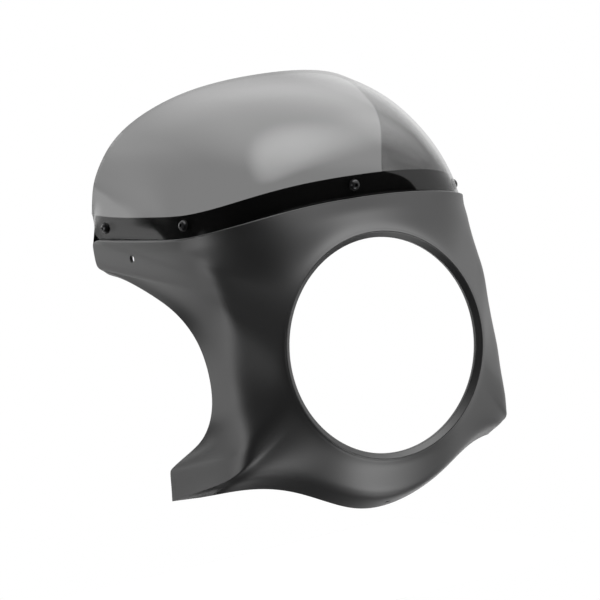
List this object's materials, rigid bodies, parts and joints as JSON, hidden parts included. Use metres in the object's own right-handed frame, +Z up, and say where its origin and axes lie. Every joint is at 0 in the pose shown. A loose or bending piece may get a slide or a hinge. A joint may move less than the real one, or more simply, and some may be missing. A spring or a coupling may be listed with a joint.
{
  "type": "motorcycle headlight fairing",
  "caption": "Moulded cafe-racer style headlight fairing shell with a screwed-on tinted windscreen, a round headlight opening and side fixing holes.",
  "frame": {"origin": "centre of the headlight opening, in the plane of the opening's front edge", "axes": "-Y forward, the way the headlight shines; +Z up; +X to the rider's left; the part is symmetric across X = 0"},
  "size_m": [0.3408, 0.2489, 0.425],
  "materials": {
    "shell": "fine matte moulded",
    "tinted_screen": "polished, smoke tinted",
    "screws": "black oxide",
    "washers": "matte",
    "nuts": "zinc plated"
  },
  "bodies": {
    "root": {"fairing_shell": "shell", "windscreen": "tinted_screen", "screw_centre": "screws", "screw_front_left": "screws", "screw_front_right": "screws", "screw_rear_left": "screws", "screw_rear_right": "screws", "washer_centre": "washers", "washer_front_left": "washers", "washer_front_right": "washers", "washer_rear_left": "washers", "washer_rear_right": "washers", "nut_centre": "nuts", "nut_front_left": "nuts", "nut_front_right": "nuts", "nut_rear_left": "nuts", "nut_rear_right": "nuts"}
  },
  "joints": []
}
